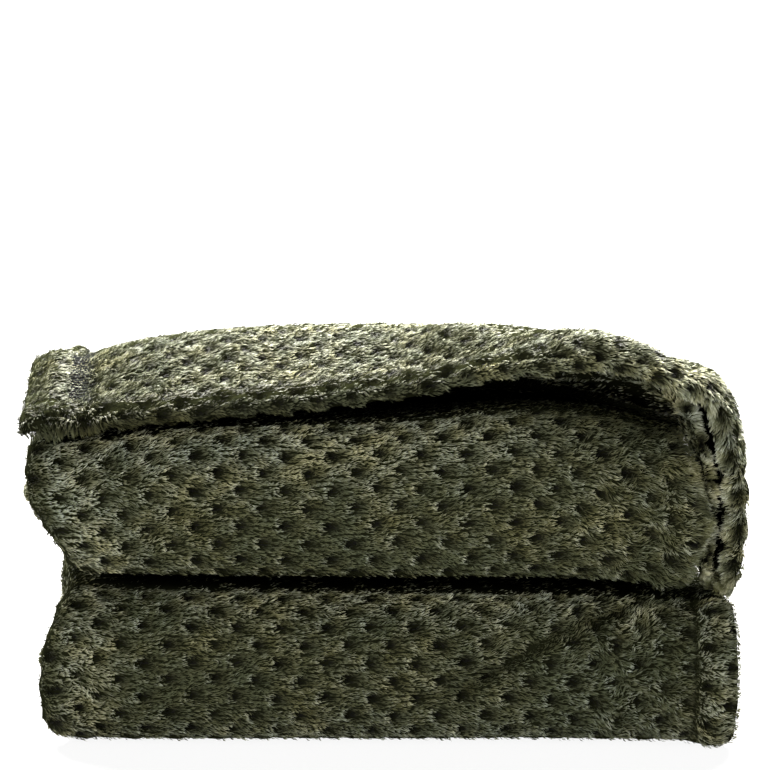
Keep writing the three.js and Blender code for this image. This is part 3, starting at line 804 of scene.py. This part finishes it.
def build_cloth(grid, seen):
    """The closed cloth's points, faces, faces' places on the map, and each
    point's place on the grid."""
    across = fine_edges(seen)
    down = fine_edges(seen.swapaxes(1, 2)).swapaxes(1, 2)
    codes, faces, maps = {}, [], []

    def point(side, i, j):
        return codes.setdefault((side, int(i), int(j)), len(codes))

    def on_map(side, i, j):
        return (side + FINE_LEGS[j] / 5) * MAP_FACE_WIDTH, FINE_COURSES[i] / 9

    for side, r, c in np.ndindex(seen.shape):
        if seen[side, r, c]:
            rows, columns = range(*COURSE_STARTS[r : r + 2]), range(*LEG_STARTS[c : c + 2])
            outlines = [[(i, j), (i, j + 1), (i + 1, j + 1), (i + 1, j)] for i in rows for j in columns]
        else:
            outlines = [cell_outline(side, r, c, across, down)]
        for outline in outlines:
            outline = outline if side == UPPER else outline[::-1]
            faces.append([point(side, *place) for place in outline])
            maps += [on_map(side, *place) for place in outline]
    places = np.array(list(codes), int)
    points = grid["faces"][places[:, 0], places[:, 1], places[:, 2]]

    # The rim goes round the edge in an arc from the upper face to the lower.
    rim = rim_places(across, down)
    count = len(rim)
    upper_ring, lower_ring = ([point(side, i, j) for i, j in rim] for side in (UPPER, LOWER))
    rings, arcs = [upper_ring], []
    for k in range(1, RIM_STEPS):
        angle = np.full(count, math.pi / 2 - math.pi * k / RIM_STEPS)
        arcs.append(round_edge(FINE_LEGS[rim[:, 1]], FINE_COURSES[rim[:, 0]], angle)["root"])
        first = len(points) + (k - 1) * count
        rings.append(list(range(first, first + count)))
    rings.append(lower_ring)
    for step, (a, b) in enumerate(zip(rings[:-1], rings[1:])):
        left, right = (MAP_RIM_FROM + MAP_RIM_WIDTH * (step + e) / RIM_STEPS for e in (0, 1))
        for k in range(count):
            n = (k + 1) % count
            faces.append([a[k], b[k], b[n], a[n]])
            low, high = k / count, (k + 1) / count
            maps += [(left, low), (right, low), (right, high), (left, high)]
    points = np.concatenate([points] + arcs)
    points[:, 2] = np.maximum(points[:, 2], 0)
    places = np.concatenate([places[:, 1:]] + [rim] * (RIM_STEPS - 1))
    return points, faces, maps, places


def add_piece(name, mesh):
    """A piece that rides on the body and stands for the solid."""
    piece = bpy.data.objects.new(name, mesh)
    bpy.context.scene.collection.objects.link(piece)
    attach(piece, "root")
    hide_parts("blanket")
    return piece


def add_map(mesh, places):
    """The mesh's map, from each corner's place on it."""
    mesh.uv_layers.new(name=MAP_NAME).uv.foreach_set("vector", np.array(places, np.float32).ravel())


def add_cloth(grid, seen):
    points, faces, maps, places = build_cloth(grid, seen)
    mesh = bpy.data.meshes.new("cloth")
    mesh.from_pydata((points * MM).tolist(), [], faces)
    mesh.polygons.foreach_set("use_smooth", np.ones(len(faces), bool))
    add_map(mesh, maps)
    i, j = places.T
    p = {key: value[i, j] for key, value in grid["pattern"].items()}
    # Pit, each point's dimple depth, sets the cloth's painted shade.
    for name, values in (("Pit", pits(p)), ("Seam", p["seam"]), ("Along", p["along"])):
        layer = mesh.attributes.new(name, "FLOAT", "POINT")
        layer.data.foreach_set("value", values.astype(np.float32))
    return add_piece("cloth", mesh)


# The pile: blades of two triangles, many to a piece.

# Which of its root, left, right and tip a blade's two triangles join.
BLADE_TRIANGLES = np.array([0, 2, 1, 1, 2, 3])
# Each blade's length lying, standing at a tuft's end, and what share of it is
# lost in a dimple; how steeply it stands, in radians; and how far it bends back.
BLADE_LYING, BLADE_STANDING, BLADE_LOSS = 4.3, 3.4, 0.5
LIFT_LYING, LIFT_STANDING = 0.38, 0.95
BEND_LYING, BEND_STANDING = 0.30, 0.10
# Where along a tuft its standing end begins, and where across it the end stops.
TUFT_END, TUFT_SIDE = (0.72, 0.90), (0.35, 0.9)
# Blades in one small clump lean and shine alike, and their bends and tips draw
# together. The clumps wander this far, over this distance.
CLUMP_MM, TIPS_TOGETHER, BENDS_TOGETHER = 3.0, 0.6, 0.3
CLUMP_WANDER, CLUMP_WANDER_SIZE = 1.5, 24.0
# The lowest that a blade comes above the floor.
FLOOR_GAP = 0.2
# After how many clumps their chance repeats, along a row and from row to row.
CLUMPS_ALONG, CLUMPS_DOWN = 61, 97
# How many places are tried for each blade round the edge.
RIM_TRIES = 3
# What turns a blade from the comb, in radians: a slow drift, its clump, chance, the
# fan of a tuft's end, shaggy pile, and leaning over the gap under the front hem.
DRIFT_TURN, CLUMP_TURN, CHANCE_TURN, FAN_TURN = 0.25, 0.28, 0.17, 0.2
SHAG_TURN, SHAG_CLUMP_TURN, GAP_TURN = 0.8, 0.35, 1.3
# The sizes of slow and quicker drifts, and of the drift in shaggy pile.
SLOW_SIZE, QUICK_SIZE, SHAG_SIZE = 60, 16, 24
# What lifts it further, in radians, and what makes it longer or shorter, as a share.
CLUMP_LIFT, CHANCE_LIFT, SHAG_LIFT, BUSHY_LIFT, CREASE_LIFT = 0.14, 0.1, 0.25, 0.3, 0.6
CLUMP_LENGTH, SHAG_LENGTH, BUSHY_LENGTH, SEAM_LOSS, GROOVE_LOSS = 0.15, 0.2, 0.8, 0.8, 0.5
CHANCE_LENGTHS, CHANCE_WIDTHS, CHANCE_ROLL = (0.7, 1.15), (0.7, 1.2), 0.5


def pick_places(weights, grid, count, rng):
    """Count places spread over the fine cells by area times weight: for each its
    side, row, column and where it lies in the cell."""
    face = grid["faces"]
    one = face[:, 1:, 1:] - face[:, :-1, :-1]
    two = face[:, 1:, :-1] - face[:, :-1, 1:]
    area = np.linalg.norm(np.cross(one, two), axis=3) / 2
    share = np.cumsum((area * weights).ravel())
    at = (np.arange(count) + rng.random(count)) / count * share[-1]
    cell = np.minimum(np.searchsorted(share, at), weights.size - 1)
    side, row, column = np.unravel_index(cell, weights.shape)
    return side, row, column, rng.random(count), rng.random(count)


def across_normal(direction, normal):
    """The direction without its part along the normal."""
    return unit(direction - normal * np.sum(direction * normal, axis=1, keepdims=True))


def face_bed(grid, weights, count, rng):
    """Where blades stand on the cloth's faces, and which way everything lies."""
    side, i, j, s, t = pick_places(weights, grid, count, rng)
    is_upper = (side == UPPER)[:, None]
    upper, lower = (blend_corners(face, i, j, s, t) for face in grid["faces"])
    out_upper, out_lower = (blend_corners(out, i, j, s, t) for out in grid["face_normals"])
    normal = unit(np.where(is_upper, out_upper, out_lower))
    bed = {key: blend_corners(value, i, j, s, t) for key, value in grid["pattern"].items()}
    bed["root"] = np.where(is_upper, upper, lower)
    bed["normal"] = normal
    bed["comb"] = across_normal(blend_corners(grid["along_leg"], i, j, s, t), normal)
    bed["down"] = across_normal(blend_corners(grid["along_course"], i, j, s, t), normal)
    return bed


def rim_bed(tree, legs, courses, hidden_too, count, rng):
    """The same for blades round a stretch of the cloth's rounded edge, only where
    the edge lies open or all round it."""
    at = rng.random(RIM_TRIES * count)
    angle = rng.uniform(-math.pi / 2, math.pi / 2, len(at))
    bed = round_edge(lerp(*legs, at), lerp(*courses, at), angle)
    is_open = hidden_too | (open_share(tree, bed["root"], bed["normal"], rng) > 0)
    keep = np.flatnonzero(is_open & (bed["root"][:, 2] > UNDERSIDE))[:count]
    return {key: value[keep] for key, value in bed.items()}


def clumps(bed, rng):
    """The small clumps that blades stand in: four random numbers from -1 to 1 for
    each blade's clump, and how far the blade stands from the clump's middle."""
    wander = CLUMP_WANDER * smooth_noise(bed["root"], CLUMP_WANDER_SIZE, SEED + 7)
    u = bed["tuft"] * TUFT_PITCH_PLY3 + wander
    v = bed["row"] * ROW_PITCH + wander
    row_lot = rng.random(CLUMPS_DOWN)
    lot = rng.uniform(-1, 1, size=(CLUMPS_ALONG, CLUMPS_DOWN, 4))
    j = np.floor(v / CLUMP_MM).astype(int)
    shift = row_lot[j % CLUMPS_DOWN]
    i = np.floor(u / CLUMP_MM + shift).astype(int)
    off_u = (u / CLUMP_MM + shift - i - 0.5) * CLUMP_MM
    off_v = (v / CLUMP_MM - j - 0.5) * CLUMP_MM
    return lot[i % CLUMPS_ALONG, j % CLUMPS_DOWN].T, off_u, off_v


def along_and_up(flat, normal, angle):
    return flat * np.cos(angle)[:, None] + normal * np.sin(angle)[:, None]


def blade_corners(bed, end, pit, clump, off_u, off_v, width, share, rng):
    """Each blade's root, left, right and tip: it leans along the comb, bends back
    towards the cloth half way, and stands up at a tuft's end."""
    root, normal = bed["root"], bed["normal"]
    count, shag = len(root), bed["shag"]
    _, off = tuft_place(bed)
    turn = DRIFT_TURN * smooth_noise(root, SLOW_SIZE, SEED + 3) + CLUMP_TURN * clump[0]
    turn += rng.normal(0, CHANCE_TURN, count) + FAN_TURN * off * end
    turn += shag * (SHAG_TURN * smooth_noise(root, SHAG_SIZE, SEED + 4) + SHAG_CLUMP_TURN * clump[0])
    turn -= GAP_TURN * bed["bushy"] * bed["hem"]
    lift = lerp(LIFT_LYING, LIFT_STANDING, end) + CLUMP_LIFT * clump[1]
    lift += rng.normal(0, CHANCE_LIFT, count) + SHAG_LIFT * shag * (1 + clump[1])
    lift += BUSHY_LIFT * bed["bushy"] + CREASE_LIFT * bed["crease"]
    flat = along_and_up(bed["comb"], bed["down"], turn)
    first = along_and_up(flat, normal, lift)
    second = along_and_up(flat, normal, lift - lerp(BEND_LYING, BEND_STANDING, end))
    length = lerp(BLADE_LYING, BLADE_STANDING, end) * (1 - BLADE_LOSS * pit)
    length *= (1 + CLUMP_LENGTH * clump[2]) * (1 + SHAG_LENGTH * shag + BUSHY_LENGTH * bed["bushy"])
    length *= (1 - SEAM_LOSS * bed["seam"]) * (1 - GROOVE_LOSS * bed["groove"])
    length *= share * rng.uniform(*CHANCE_LENGTHS, count)
    across = unit(np.cross(normal, first))
    half = along_and_up(across, np.cross(first, across), rng.normal(0, CHANCE_ROLL, count))
    half *= (width * rng.uniform(*CHANCE_WIDTHS, count) / 2)[:, None]
    inward = -bed["comb"] * off_u[:, None] - bed["down"] * off_v[:, None]
    bend = root + first * (length / 2)[:, None]
    tip = bend + second * (length / 2)[:, None] + inward * TIPS_TOGETHER
    bend += inward * BENDS_TOGETHER
    corners = np.stack([root, bend - half, bend + half, tip], axis=1)
    corners[:, :, 2] = np.maximum(corners[:, :, 2], FLOOR_GAP)
    return corners


# What makes a blade lighter: a painted highlight at a tuft's standing end, where its
# tips catch the light, its clump, a slow drift, chance, and its clump again where the
# pile is shaggy. What darkens it, all painted shade: a dimple, the lying start of its
# tuft, turned from the light, the groove and the crease.
END_HIGHLIGHT, CLUMP_PALE, DRIFT_PALE, CHANCE_PALE, SHAG_PALE = 0.75, 0.24, 0.15, 0.09, 0.25
PIT_SHADE, START_SHADE, GROOVE_SHADE, CREASE_SHADE = 1.9, 0.35, 0.8, 0.5
# Where along a tuft its start ends, and what warms it: a slow and a quicker drift.
TUFT_START = (0.1, 0.5)
DRIFT_WARM, QUICK_WARM = 0.25, 0.3
# How high each corner's red is, from the root to the tip. A low red takes the
# near-black root colour, painted shade down among the blades.
CORNER_REDS = np.array([0, 0.55, 0.55, 1])


def blade_shades(bed, end, pit, clump, rng):
    """Each blade corner's colour numbers: red from the root to the tip, lowered by
    painted shade; green how pale, raised by painted highlight and painted light;
    blue how warm, lowered by painted cool sheen."""
    count = len(end)
    phase, _ = tuft_place(bed)
    slow = smooth_noise(bed["root"], SLOW_SIZE, SEED + 5)
    # The tuft's standing end gets a painted highlight, and the spots of painted light add to it.
    pale = END_HIGHLIGHT * end + CLUMP_PALE * clump[3] + DRIFT_PALE * slow + bed["painted_light"]
    pale += rng.normal(0, CHANCE_PALE, count) + SHAG_PALE * bed["shag"] * clump[1]
    # Painted shade: deepest in a dimple, and at the tuft's lying start, along the groove and the
    # crease, and in spots.
    shading = np.clip(1 - PIT_SHADE * pit, 0, 1) * lerp(1 - START_SHADE, 1, smoothstep(phase, *TUFT_START))
    shading *= (1 - GROOVE_SHADE * bed["groove"]) * (1 - CREASE_SHADE * bed["crease"]) * (1 - bed["painted_shade"])
    warm = 0.5 + DRIFT_WARM * slow + QUICK_WARM * smooth_noise(bed["root"], QUICK_SIZE, SEED + 6)
    # Spots of painted cool sheen take off warmth.
    warm -= bed["cool_sheen"]
    shades = np.ones((count, 4, 4), np.float32)
    shades[:, :, 0] = CORNER_REDS * shading[:, None]
    shades[:, :, 1] = (np.clip(pale, 0, 1) * shading)[:, None]
    shades[:, :, 2] = np.clip(warm, 0, 1)[:, None]
    return shades


def blade_map(count):
    """A place of its own on the map for each blade, in a square grid of cells."""
    cells = math.ceil(math.sqrt(count))
    cell = np.stack(np.divmod(np.arange(count), cells)[::-1], axis=1)[:, None]
    kite = np.array([(0.5, 0.05), (0.05, 0.5), (0.95, 0.5), (0.5, 0.95)])
    corners = (cell + kite) / cells
    return corners[:, BLADE_TRIANGLES]


def add_pile(name, bed, width, share, seed):
    """One piece of pile on its bed."""
    rng = np.random.default_rng(seed)
    phase, off = tuft_place(bed)
    pit = pits(bed)
    end = smoothstep(phase, *TUFT_END) * (1 - smoothstep(np.abs(off), *TUFT_SIDE))
    clump, off_u, off_v = clumps(bed, rng)
    corners = blade_corners(bed, end, pit, clump, off_u, off_v, width, share, rng)
    count = len(corners)
    mesh = bpy.data.meshes.new(name)
    mesh.vertices.add(4 * count)
    mesh.vertices.foreach_set("co", (corners * MM).astype(np.float32).ravel())
    loops = 4 * np.arange(count)[:, None] + BLADE_TRIANGLES
    mesh.loops.add(6 * count)
    mesh.loops.foreach_set("vertex_index", loops.ravel())
    mesh.polygons.add(2 * count)
    mesh.polygons.foreach_set("loop_start", np.arange(0, 6 * count, 3))
    mesh.update(calc_edges=True)
    add_map(mesh, blade_map(count))
    shades = mesh.attributes.new("Pile", "FLOAT_COLOR", "POINT")
    shades.data.foreach_set("color", blade_shades(bed, end, pit, clump, rng).ravel())
    return add_piece(name, mesh)


# Materials.

# Colours from a blade's root to its tip, for a plain and for a pale blade, and
# what the coolest and the warmest blades are multiplied by. The near-black root
# colours are painted shade down among the blades, and the pale blade's light tip
# also serves for painted highlight and painted light.
PLAIN = [(0.002, 0.002, 0.001), (0.052, 0.054, 0.025), (0.143, 0.150, 0.079)]
PALE = [(0.004, 0.004, 0.002), (0.22, 0.226, 0.136), (0.75, 0.76, 0.64)]
TINTS = [(0.93, 1.0, 1.06), (0.99, 1.0, 0.98), (1.06, 1.0, 0.78)]
# The cloth's own colour, and the near-black painted shade it takes in the dimples.
CLOTH_COLOUR, PIT_SHADE_COLOUR = (0.010, 0.011, 0.005), (0.001, 0.001, 0.001)
SEAM_DARK, SEAM_LIGHT = (0.003, 0.003, 0.003), (0.014, 0.015, 0.014)
# The pitch of the seam's stitches, and from where to where in their wave it pales.
STITCH_PITCH, STITCH_PALES = 4.0, (-0.5, 0.8)


def ramp_node(tree, colours, factor):
    """A ramp from the first colour through the second, half way, to the third."""
    node = tree.nodes.new("ShaderNodeValToRGB")
    elements = node.color_ramp.elements
    elements.new(0.5)
    for element, colour in zip(elements, colours):
        element.color = (*colour, 1)
    tree.links.new(factor, node.inputs["Fac"])
    return node.outputs["Color"]


def mix_node(tree, kind, factor, a, b):
    node = tree.nodes.new("ShaderNodeMix")
    node.data_type = "RGBA"
    node.blend_type = kind
    for name, value in (("Factor", factor), ("A", a), ("B", b)):
        socket = next(s for s in node.inputs if s.name == name and s.enabled)
        if isinstance(value, bpy.types.NodeSocket):
            tree.links.new(value, socket)
        else:
            socket.default_value = (*value, 1) if isinstance(value, tuple) else value
    return next(s for s in node.outputs if s.enabled)


def attribute_node(tree, name):
    node = tree.nodes.new("ShaderNodeAttribute")
    node.attribute_name = name
    return node


def new_material(name, roughness, specular):
    material = bpy.data.materials.new(name)
    material.use_nodes = True
    shader = material.node_tree.nodes["Principled BSDF"]
    shader.inputs["Roughness"].default_value = roughness
    shader.inputs["Specular IOR Level"].default_value = specular
    return material, material.node_tree, shader


def pile_material():
    material, tree, shader = new_material("fleece_pile", roughness=0.6, specular=0.08)
    split = tree.nodes.new("ShaderNodeSeparateColor")
    tree.links.new(attribute_node(tree, "Pile").outputs["Color"], split.inputs["Color"])
    plain = ramp_node(tree, PLAIN, split.outputs["Red"])
    pale = ramp_node(tree, PALE, split.outputs["Red"])
    tint = ramp_node(tree, TINTS, split.outputs["Blue"])
    colour = mix_node(tree, "MIX", split.outputs["Green"], plain, pale)
    colour = mix_node(tree, "MULTIPLY", 1.0, colour, tint)
    tree.links.new(colour, shader.inputs["Base Color"])
    return material


def cloth_material():
    """The cloth under the pile: painted shade makes it near-black in the dimples, and
    where the pile is pressed flat along a seam, grey with the ladder of its stitches."""
    material, tree, shader = new_material("fleece_cloth", roughness=0.9, specular=0.0)
    turn = tree.nodes.new("ShaderNodeMath")
    turn.operation = "MULTIPLY"
    turn.inputs[1].default_value = 2 * math.pi / STITCH_PITCH
    tree.links.new(attribute_node(tree, "Along").outputs["Fac"], turn.inputs[0])
    wave = tree.nodes.new("ShaderNodeMath")
    wave.operation = "SINE"
    tree.links.new(turn.outputs[0], wave.inputs[0])
    level = tree.nodes.new("ShaderNodeMapRange")
    level.inputs["From Min"].default_value, level.inputs["From Max"].default_value = STITCH_PALES
    tree.links.new(wave.outputs[0], level.inputs["Value"])
    seam = mix_node(tree, "MIX", level.outputs["Result"], SEAM_DARK, SEAM_LIGHT)
    # Painted shade in the dimples.
    plain = mix_node(tree, "MIX", attribute_node(tree, "Pit").outputs["Fac"], CLOTH_COLOUR, PIT_SHADE_COLOUR)
    colour = mix_node(tree, "MIX", attribute_node(tree, "Seam").outputs["Fac"], plain, seam)
    tree.links.new(colour, shader.inputs["Base Color"])
    return material


# The blanket.

CAMERA_ELEVATION = math.radians(10)
TO_CAMERA = np.array([0, -math.cos(CAMERA_ELEVATION), math.sin(CAMERA_ELEVATION)])
# A face that turns at least this much to the camera counts as the front, and one
# that turns up this much as the top.
FRONT_FACING, TOP_FACING = 0.35, 0.5
# Each piece of pile: where it stands, how many blades, how wide they are, and
# what share of their full length they have.
PILES = [
    ("pile_front_a", "front", 98000, 0.55, 1.0),
    ("pile_front_b", "front", 98000, 0.55, 1.0),
    ("pile_top", "top", 96000, 0.7, 0.75),
    ("pile_around", "around", 68000, 1.05, 0.85),
]
# Stretches of the edge with pile: legs from and to, courses from and to, whether
# it fills the gap beside the edge too, and how many blades.
RIMS = [
    ((0, 2.4), (0, 0), False, 22000),
    ((0, 0), (0, 9), False, 9000),
    ((5, 5), (0, 9), False, 9000),
    ((5, 5), (2.9, 4.6), True, 7000),
    ((0.75, 2.35), (0, 0), True, 7000),
    ((0, 5), (9, 9), False, 3000),
]
RIM_BLADE_WIDTH, RIM_LENGTH = 0.65, 0.8

grid = fine_grid()
tree = cloth_tree(grid)
opened = openness(grid, tree)
cloth = add_cloth(grid, coarse_seen(opened))
cloth.data.materials.append(cloth_material())

outward = np.array([1, -1])[:, None, None, None] * grid["normal"][:-1, :-1]
in_front = outward @ TO_CAMERA > FRONT_FACING
on_top = ~in_front & (outward[..., 2] > TOP_FACING)
regions = {"front": in_front, "top": on_top, "around": ~in_front & ~on_top}
rng = np.random.default_rng(SEED)
has_pile = spread(opened) > 0
piles = [
    add_pile(name, face_bed(grid, regions[region] & has_pile, count, rng), width, share, SEED + k)
    for k, (name, region, count, width, share) in enumerate(PILES)
]
rims = [rim_bed(tree, *run, rng) for run in RIMS]
rim_blades = {key: np.concatenate([rim[key] for rim in rims]) for key in rims[0]}
piles.append(add_pile("pile_rim", rim_blades, RIM_BLADE_WIDTH, RIM_LENGTH, SEED + len(PILES)))
fleece = pile_material()
for pile in piles:
    pile.data.materials.append(fleece)


# Floor, light and camera.

FLOOR_SIZE = 60.0
FLOOR_COLOUR, FLOOR_GLOW = (0.08, 0.08, 0.08, 1), 0.92
SKY_COLOUR, SKY_STRENGTH = (0.90, 0.96, 1.0, 1), 0.25
# Each light's name, strength, colour, the angle it spreads over, how far up from
# the floor it comes, and how far round from the camera's side to the right.
SUNS = [
    ("key", 1.9, (1.0, 0.98, 0.92), 30, 24, -34),
    ("top", 59.0, (1.0, 0.98, 0.92), 40, 46, -175),
]


def add_floor():
    mesh = bpy.data.meshes.new("floor")
    far = FLOOR_SIZE / 2
    corners = [(-far, -far, 0), (far, -far, 0), (far, far, 0), (-far, far, 0)]
    mesh.from_pydata(corners, [], [(0, 1, 2, 3)])
    floor = bpy.data.objects.new("floor", mesh)
    bpy.context.scene.collection.objects.link(floor)
    material, _, shader = new_material("floor_pale", roughness=0.9, specular=0.2)
    shader.inputs["Base Color"].default_value = FLOOR_COLOUR
    shader.inputs["Emission Color"].default_value = (1, 1, 1, 1)
    shader.inputs["Emission Strength"].default_value = FLOOR_GLOW
    mesh.materials.append(material)


def add_sun(name, strength, colour, spread, up, around):
    light = bpy.data.lights.new(name, "SUN")
    light.energy = strength
    light.color = colour
    light.angle = math.radians(spread)
    sun = bpy.data.objects.new(name, light)
    up, around = math.radians(up), math.radians(around)
    level = math.cos(up)
    source = Vector((level * math.sin(around), -level * math.cos(around), math.sin(up)))
    sun.rotation_euler = source.to_track_quat("Z", "Y").to_euler()
    bpy.context.scene.collection.objects.link(sun)


def add_sky():
    world = bpy.data.worlds.new("studio")
    world.use_nodes = True
    background = world.node_tree.nodes["Background"]
    background.inputs["Color"].default_value = SKY_COLOUR
    background.inputs["Strength"].default_value = SKY_STRENGTH
    bpy.context.scene.world = world


# The camera looks down at the stack's front from ten degrees up, and aims above
# its middle, which leaves the bare upper half of the frame.
CAMERA_TARGET = Vector((-0.0019, -0.156, 0.115))
CAMERA_DISTANCE = 3.0
FRAME_PIXELS = 770
FOCUS_PIXELS = 4995
AIM_LEFT, AIM_UP = 0.0012, 0.1087


def add_camera():
    data = bpy.data.cameras.new("camera")
    data.lens = data.sensor_width * FOCUS_PIXELS / FRAME_PIXELS
    camera = bpy.data.objects.new("camera", data)
    bpy.context.scene.collection.objects.link(camera)
    upward = Vector((0, math.sin(CAMERA_ELEVATION), math.cos(CAMERA_ELEVATION)))
    camera.location = CAMERA_TARGET + Vector(TO_CAMERA) * CAMERA_DISTANCE
    aim = CAMERA_TARGET + upward * AIM_UP - Vector((AIM_LEFT, 0, 0))
    camera.rotation_euler = (aim - camera.location).to_track_quat("-Z", "Y").to_euler()
    bpy.context.scene.camera = camera


add_floor()
add_sky()
for sun in SUNS:
    add_sun(*sun)
add_camera()
bpy.context.scene.view_settings.view_transform = "Standard"
